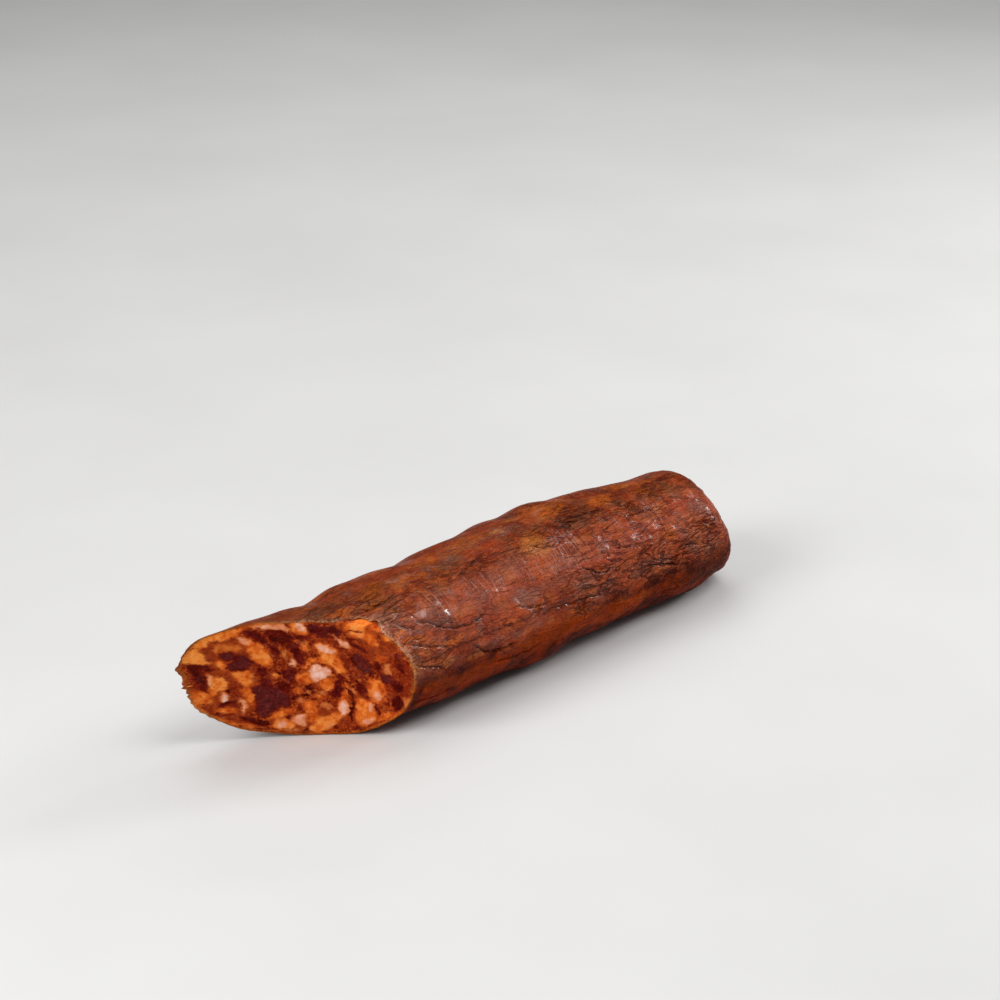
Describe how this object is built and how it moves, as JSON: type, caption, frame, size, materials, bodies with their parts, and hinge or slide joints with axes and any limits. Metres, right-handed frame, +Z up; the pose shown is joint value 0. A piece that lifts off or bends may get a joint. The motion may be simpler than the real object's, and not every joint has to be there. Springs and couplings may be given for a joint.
{
  "type": "cured sausage",
  "caption": "Length of dry-cured sausage in a wrinkled glossy casing, sliced off at a bias to show a marbled oval face; the other end is rounded and blunt.",
  "frame": {"origin": "middle of the bounding box's base, on the surface that the sausage rests on", "axes": "+X along the sausage from the tip of the bias cut to the rounded end, +Y across it, +Z up"},
  "size_m": [0.2514, 0.0544, 0.0525],
  "materials": {
    "casing": "thin natural casing, reddish brown and mottled, wrinkled along its length, glossy",
    "cut_face": "marbled cut meat: orange and pinkish-white fat, dark maroon lean meat, red-brown paste, moist"
  },
  "bodies": {
    "root": {"sausage": "casing"}
  },
  "joints": []
}
